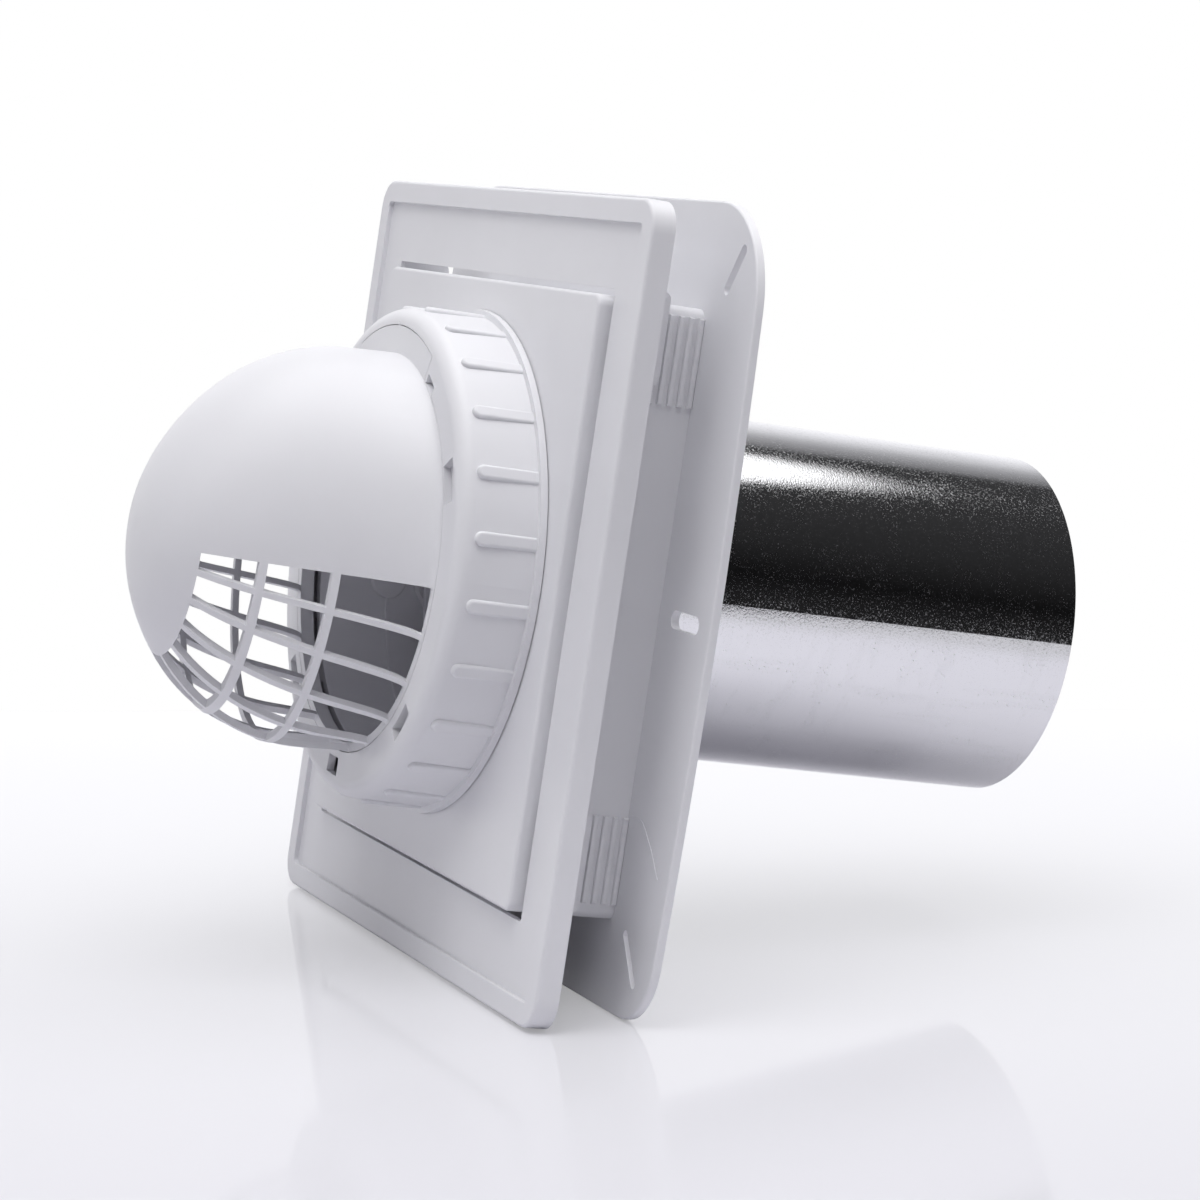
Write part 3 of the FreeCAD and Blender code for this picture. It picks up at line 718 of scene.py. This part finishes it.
@dataclass
class MouldMarks:
    """The small marks that the moulds leave on the plastic, in millimetres."""

    workshop: Workshop
    gate_place: Point = (-0.1, -58.2, 64.3)
    gate_profile: Profile = (
        (0.0, -0.1), (0.85, -0.1), (0.85, 0.05), (0.72, 0.1),
        (0.5, 0.04), (0.3, 0.06), (0.22, 0.16), (0.0, 0.18),
    )
    pin_profile: Profile = (
        (0.0, -0.1), (3.0, -0.1), (3.0, 0.1), (2.85, 0.14), (2.7, 0.1), (2.6, 0.03), (0.0, 0.03),
    )
    cavity_y: float = -31.2
    cavity_spots: Profile = ((70.0, 69.0), (-70.0, 69.0), (70.0, -75.5), (-70.0, -75.5))
    trim_back_y: float = -29.6
    trim_spots: Profile = (
        (93.5, 94.0), (-93.5, 94.0), (93.5, -100.0), (-93.5, -100.0), (93.5, -4.0), (-93.5, -4.0),
    )
    flange_face_y: float = -2.4
    flow_points: Profile = (
        (84.0, -57.6), (88.6, -57.4), (91.6, -58.2), (93.9, -59.7), (99.6, -64.3), (106.2, -71.0),
    )
    flow_width: float = 0.35
    flow_height: float = 0.2
    flow_bed: float = 0.05
    flow_round: float = 0.05
    sharp_angle: float = 1.0  # radians

    def build(self) -> None:
        """Make every mark."""
        self._gate_mark()
        self._pin_marks("box_pin_marks", "base", self.cavity_y, self.cavity_spots)
        self._pin_marks("trim_pin_marks", "trim", self.trim_back_y, self.trim_spots)
        self._flow_line()

    def _gate_mark(self) -> None:
        """The sprue's broken stub on the hood's key."""
        shape = bmesh.new()
        spot = Spot(self.gate_place, (0.0, -1.0, 0.0))
        self.workshop.turned(shape, self.gate_profile, spot)
        self.workshop.finish(shape, "gate_mark", "cap", Slot.WHITE, Finish.WHITE)

    def _pin_marks(self, name: str, body: str, face_y: float, spots: Profile) -> None:
        """Round ejector-pin marks on a rear face.

        Args:
            name: the piece's name.
            body: the body it rides on.
            face_y: the face's place.
            spots: x and z of each mark.
        """
        shape = bmesh.new()
        for x, z in spots:
            self.workshop.turned(shape, self.pin_profile, Spot((x, face_y, z), (0.0, 1.0, 0.0)))
        self.workshop.finish(shape, name, body, Slot.WHITE, Finish.WHITE)

    def _flow_line(self) -> None:
        """The faint raised line that the flowing plastic left beside the lower ratchet pad."""
        shape = bmesh.new()
        bed_y = self.flange_face_y + self.flow_bed
        corners = [shape.verts.new((x, bed_y, z)) for x, z in self.flow_points]
        edges = [shape.edges.new(pair) for pair in zip(corners, corners[1:])]
        ribbon = bmesh.ops.extrude_edge_only(shape, edges=edges)["geom"]
        moved = [item for item in ribbon if isinstance(item, bmesh.types.BMVert)]
        side = self.flow_width / math.sqrt(2)
        bmesh.ops.translate(shape, vec=(side, 0.0, side), verts=moved)
        rise = (0.0, -self.flow_height - self.flow_bed, 0.0)
        lifted = self.workshop.grown(shape, list(shape.faces), rise)
        ridge = [edge for edge in shape.edges if self._is_ridge(edge, lifted)]
        self.workshop.rounded(shape, ridge, self.flow_round)
        self.workshop.finish(shape, "flow_line", "base", Slot.WHITE, Finish.WHITE)

    def _is_ridge(self, edge: bmesh.types.BMEdge, lifted: list[bmesh.types.BMVert]) -> bool:
        """Whether an edge is a sharp one on the raised side.

        Args:
            edge: the edge.
            lifted: the corners of the raised side.

        Returns:
            True where the edge is rounded.
        """
        raised = all(vert in lifted for vert in edge.verts)
        return raised and len(edge.link_faces) == 2 and edge.calc_face_angle() > self.sharp_angle


@dataclass
class DuctDetails:
    """The duct's folded seam and the rivets' broken stems, in millimetres and degrees."""

    workshop: Workshop
    duct_r: float = 50.8
    seam_angle: float = 202.0
    seam_span: tuple[float, float] = (1.5, 144.2)
    # Across the fold, and the height over the duct's outside.
    seam_outline: Profile = (
        (-3.1, -0.25), (3.1, -0.25), (3.1, 0.12), (2.6, 0.55),
        (-2.1, 0.55), (-2.4, 0.2), (-3.1, 0.05),
    )
    seam_round: float = 0.08
    rivet_angles: tuple[float, ...] = (45.0, 135.0, 225.0, 315.0)
    rivet_y: float = -9.0
    rivet_top_r: float = 52.0
    stem_profile: Profile = (
        (0.0, -0.2), (1.45, -0.2), (1.45, 0.08), (1.25, 0.16), (1.05, 0.1),
        (0.95, -0.05), (0.85, -0.05), (0.85, 0.22), (0.7, 0.34), (0.0, 0.28),
    )
    stem_steps: int = 20

    def build(self) -> None:
        """Make the seam and the stems."""
        self._seam()
        self._stems()

    def _seam(self) -> None:
        """The lock seam: a flat fold along the sheet's joint, on the side away from the photo."""
        shape = bmesh.new()
        start, end = self.seam_span
        corners = [
            shape.verts.new((across, start, self.duct_r + height))
            for across, height in self.seam_outline
        ]
        self.workshop.grown(shape, [shape.faces.new(corners)], (0.0, end - start, 0.0))
        self.workshop.rounded(shape, list(shape.edges), self.seam_round)
        # The fold is drawn at the top of the duct, which is 90 degrees.
        turn = Matrix.Rotation(math.radians(90.0 - self.seam_angle), 4, "Y")
        bmesh.ops.transform(shape, matrix=turn, verts=shape.verts)
        self.workshop.finish(shape, "duct_seam", "base", Slot.METAL, Finish.METAL)

    def _stems(self) -> None:
        """The broken mandrel and the rolled rim at the top of each rivet's head."""
        shape = bmesh.new()
        for angle in self.rivet_angles:
            out = (math.cos(math.radians(angle)), 0.0, math.sin(math.radians(angle)))
            place = (self.rivet_top_r * out[0], self.rivet_y, self.rivet_top_r * out[2])
            self.workshop.turned(shape, self.stem_profile, Spot(place, out), self.stem_steps)
        self.workshop.finish(shape, "rivet_stems", "base", Slot.METAL, Finish.STEM)


@dataclass
class Studio:
    """The pale floor, the soft lights, the surroundings and the camera."""

    fit: CameraFit = CameraFit()
    # The lower edges that the object stands on: y and z in millimetres.
    trim_foot: tuple[float, float] = (-24.8, -114.8)
    flange_foot: tuple[float, float] = (0.0, -111.0)
    foot_gap: float = 0.05
    # The table's far edge is level in the picture, at this row of its pixels.
    edge_row: float = 712.0
    floor_width: float = 6.0
    floor_depth: float = 0.815
    floor_shade: Colour = (0.20, 0.20, 0.215)
    floor_roughness: float = 0.05
    floor_ior: float = 1.5
    floor_glow: Colour = (0.985, 0.985, 1.0)
    floor_level: float = 0.51
    unseen_shade: Colour = (0.77, 0.765, 0.81)
    # Seen more steeply than the first share, the floor is the plain unseen one.
    slant_span: tuple[float, float] = (0.62, 0.86)
    ambient: float = 0.25
    ambient_shade: Colour = (0.94, 0.92, 1.0)
    # What reflections see: the place round the duct's axis, from the left horizon by way of
    # below (0 to 0.5) to the right horizon and over the top, and the level there.
    surroundings: Profile = (
        (0.0, 0.95), (0.25, 0.80), (0.42, 0.46), (0.45, 0.25), (0.47, 0.02), (0.55, 0.004),
        (0.62, 0.02), (0.70, 0.03), (0.828, 0.04), (0.836, 0.20), (0.867, 0.38), (0.883, 0.52),
        (0.903, 0.74), (0.931, 0.92), (0.965, 1.02), (1.0, 1.05),
    )
    surroundings_blue: float = 1.03
    lights: tuple[Softbox, ...] = (
        Softbox(
            "top_softbox", (-0.10, -0.015, 1.05), (-0.10, -0.015, 0.0),
            width=1.04, height=1.23, power=5.0, shape=LampShape.ELLIPSE,
        ),
        Softbox(
            "right_softbox", (0.45, -0.30, 1.05), (0.0, 0.0, 0.0),
            width=0.8, height=0.8, power=5.8, in_reflections=False,
        ),
        Softbox(
            "front_softbox", (0.15, -0.85, 0.95), (0.0, 0.0, 0.0),
            width=0.8, height=0.8, power=4.2, in_reflections=False,
        ),
        Softbox(
            "rear_softbox", (0.45, 1.10, 0.65), (0.0, 0.0, 0.0),
            width=0.9, height=0.9, power=3.0, in_reflections=False,
        ),
    )

    def build(self) -> None:
        """Place everything that isn't part of the object."""
        self._camera()
        self._floor()
        for light in self.lights:
            self._softbox(light)
        self._world()

    def _axes(self) -> tuple[Vector, Vector, Vector, Vector]:
        """The camera's place in metres and its right, up and forward directions.

        Returns:
            The place and the three directions.
        """
        fit = self.fit
        az, el, roll = (math.radians(angle) for angle in (fit.azimuth, fit.elevation, fit.roll))
        ahead = Vector((-math.sin(az) * math.cos(el), math.cos(az) * math.cos(el), -math.sin(el)))
        right = ahead.cross(Vector((0.0, 0.0, 1.0))).normalized()
        up = right.cross(ahead)
        turned_right = math.cos(roll) * right + math.sin(roll) * up
        turned_up = math.cos(roll) * up - math.sin(roll) * right
        per_px = fit.distance / fit.focal_px
        shift = per_px * (fit.offset_x * turned_right - fit.offset_y * turned_up)
        return -(fit.distance * ahead + shift) * MM, turned_right, turned_up, ahead

    def _on_plane(self, column: float, row: float, start: Vector, normal: Vector) -> Vector:
        """The point of a plane that the camera shows at a place in the picture.

        Args:
            column: the picture's column in pixels.
            row: the picture's row in pixels.
            start: a point of the plane.
            normal: the plane's normal.

        Returns:
            The point in metres.
        """
        place, right, up, ahead = self._axes()
        half = self.fit.picture_px / 2
        across, down = ((value - half) / self.fit.focal_px for value in (column, row))
        ray = ahead + across * right - down * up
        return place + ray * ((start - place).dot(normal) / ray.dot(normal))

    def _floor(self) -> None:
        """A glossy pale table under the lower edges of the trim and the flange."""
        floor = bpy.data.objects.new("floor", self._floor_mesh())
        bpy.context.scene.collection.objects.link(floor)
        floor.data.materials.append(self._floor_material())

    def _floor_mesh(self) -> bpy.types.Mesh:
        """The table's top, whose far edge is level in the picture.

        Returns:
            The mesh.
        """
        (trim_y, trim_z), (flange_y, flange_z) = self.trim_foot, self.flange_foot
        slope = Vector((0.0, flange_y - trim_y, flange_z - trim_z)).normalized()
        normal = Vector((0.0, -slope.z, slope.y))
        start = Vector((0.0, trim_y, trim_z - self.foot_gap)) * MM
        left = self._on_plane(0.0, self.edge_row, start, normal)
        right = self._on_plane(self.fit.picture_px, self.edge_row, start, normal)
        across = (right - left).normalized()
        nearer = across.cross(normal)
        middle = (left + right) / 2 + nearer * (self.floor_depth / 2)
        axes = Matrix((across * self.floor_width, nearer * self.floor_depth, normal))
        shape = bmesh.new()
        bmesh.ops.create_grid(shape, x_segments=1, y_segments=1, size=0.5)
        place = Matrix.Translation(middle) @ axes.transposed().to_4x4()
        bmesh.ops.transform(shape, matrix=place, verts=shape.verts)
        shape.normal_update()
        for face in shape.faces:
            if face.normal.dot(normal) < 0:
                face.normal_flip()
        mesh = bpy.data.meshes.new("floor")
        shape.to_mesh(mesh)
        shape.free()
        return mesh

    def _floor_material(self) -> bpy.types.Material:
        """Glossy and lifted where it is seen at a low angle, a plain pale table elsewhere.

        Returns:
            The material.
        """
        material = bpy.data.materials.new("floor")
        material.use_nodes = True
        material.node_tree.nodes.clear()
        tools = NodeTools(material.node_tree)
        seen = tools.add(
            "ShaderNodeBsdfPrincipled", Roughness=self.floor_roughness, IOR=self.floor_ior
        )
        seen.inputs["Base Color"].default_value = (*self.floor_shade, 1.0)
        seen.inputs["Emission Color"].default_value = (*self.floor_glow, 1.0)
        seen.inputs["Emission Strength"].default_value = self.floor_level
        unseen = tools.add("ShaderNodeBsdfDiffuse", Color=(*self.unseen_shade, 1.0))
        path = tools.add("ShaderNodeLightPath")
        shown = tools.maths(
            "MAXIMUM", path.outputs["Is Camera Ray"], path.outputs["Is Glossy Ray"]
        )
        slant = tools.add("ShaderNodeLayerWeight", Blend=0.5)
        low = tools.add("ShaderNodeMapRange", interpolation_type="SMOOTHSTEP")
        low.inputs["From Min"].default_value, low.inputs["From Max"].default_value = self.slant_span
        tools.link(slant.outputs["Facing"], low.inputs["Value"])
        mix = tools.add("ShaderNodeMixShader")
        tools.link(tools.maths("MULTIPLY", shown, low.outputs["Result"]), mix.inputs[0])
        tools.link(unseen.outputs[0], mix.inputs[1])
        tools.link(seen.outputs[0], mix.inputs[2])
        output = tools.add("ShaderNodeOutputMaterial")
        tools.link(mix.outputs[0], output.inputs["Surface"])
        return material

    def _softbox(self, spec: Softbox) -> None:
        """Place an area light and turn it to its target.

        Args:
            spec: the light.
        """
        data = bpy.data.lights.new(spec.name, "AREA")
        data.shape = spec.shape.value
        data.size = spec.width
        data.size_y = spec.height
        data.energy = spec.power
        lamp = bpy.data.objects.new(spec.name, data)
        bpy.context.scene.collection.objects.link(lamp)
        place = Vector(spec.place)
        away = place - Vector(spec.target)
        lamp.location = place
        lamp.rotation_euler = away.to_track_quat("Z", "Y").to_euler()
        lamp.visible_camera = False
        lamp.visible_glossy = spec.in_reflections

    def _world(self) -> None:
        """White past the object, a studio in reflections and a soft grey elsewhere."""
        world = bpy.data.worlds.new("studio")
        bpy.context.scene.world = world
        world.use_nodes = True
        world.node_tree.nodes.clear()
        tools = NodeTools(world.node_tree)
        seen = tools.add("ShaderNodeBackground", Strength=1.0, Color=(1.0, 1.0, 1.0, 1.0))
        ambient = tools.add(
            "ShaderNodeBackground", Strength=self.ambient, Color=(*self.ambient_shade, 1.0)
        )
        mirrored = tools.add("ShaderNodeBackground", Strength=1.0)
        place = tools.add("ShaderNodeTexCoord")
        split = tools.add("ShaderNodeSeparateXYZ")
        tools.link(place.outputs["Generated"], split.inputs[0])
        angle = tools.maths("ARCTAN2", split.outputs["Z"], split.outputs["X"])
        share = tools.maths("ADD", tools.maths("DIVIDE", angle, 2 * math.pi), 0.5)
        ramp = tools.add("ShaderNodeValToRGB")
        self._set_surroundings(ramp.color_ramp)
        tools.link(share, ramp.inputs["Fac"])
        tools.link(ramp.outputs["Color"], mirrored.inputs["Color"])
        path = tools.add("ShaderNodeLightPath")
        lit = tools.add("ShaderNodeMixShader")
        tools.link(path.outputs["Is Glossy Ray"], lit.inputs[0])
        tools.link(ambient.outputs[0], lit.inputs[1])
        tools.link(mirrored.outputs[0], lit.inputs[2])
        shown = tools.add("ShaderNodeMixShader")
        tools.link(path.outputs["Is Camera Ray"], shown.inputs[0])
        tools.link(lit.outputs[0], shown.inputs[1])
        tools.link(seen.outputs[0], shown.inputs[2])
        output = tools.add("ShaderNodeOutputWorld")
        tools.link(shown.outputs[0], output.inputs["Surface"])

    def _set_surroundings(self, ramp: bpy.types.ColorRamp) -> None:
        """Set the levels that reflections see; all but the two at the seam are a little blue.

        Args:
            ramp: the colour ramp.
        """
        for index in (0, -1):
            position, level = self.surroundings[index]
            ramp.elements[index].position = position
            ramp.elements[index].color = (level, level, level, 1.0)
        for position, level in self.surroundings[1:-1]:
            element = ramp.elements.new(position)
            element.color = (level, level, level * self.surroundings_blue, 1.0)

    def _camera(self) -> None:
        """Place the photo's camera."""
        fit = self.fit
        place, right, up, ahead = self._axes()
        data = bpy.data.cameras.new("photo_camera")
        data.sensor_width = fit.sensor_mm
        data.lens = fit.focal_px / fit.picture_px * fit.sensor_mm
        data.clip_end = fit.far_clip
        camera = bpy.data.objects.new("photo_camera", data)
        bpy.context.scene.collection.objects.link(camera)
        turn = Matrix((right, up, -ahead)).transposed()
        camera.matrix_world = Matrix.Translation(place) @ turn.to_4x4()
        bpy.context.scene.camera = camera


def main() -> None:
    """Build the looks in order."""
    logging.basicConfig(level=logging.INFO)
    bpy.context.scene.view_settings.view_transform = "Standard"
    effects = SharedEffects()
    finishes = Finishes(effects)
    cad = CadFinish(finishes)
    cad.build()
    workshop = Workshop(cad.made)
    MouldMarks(workshop).build()
    DuctDetails(workshop).build()
    Studio().build()


if __name__ == "__main__":
    main()
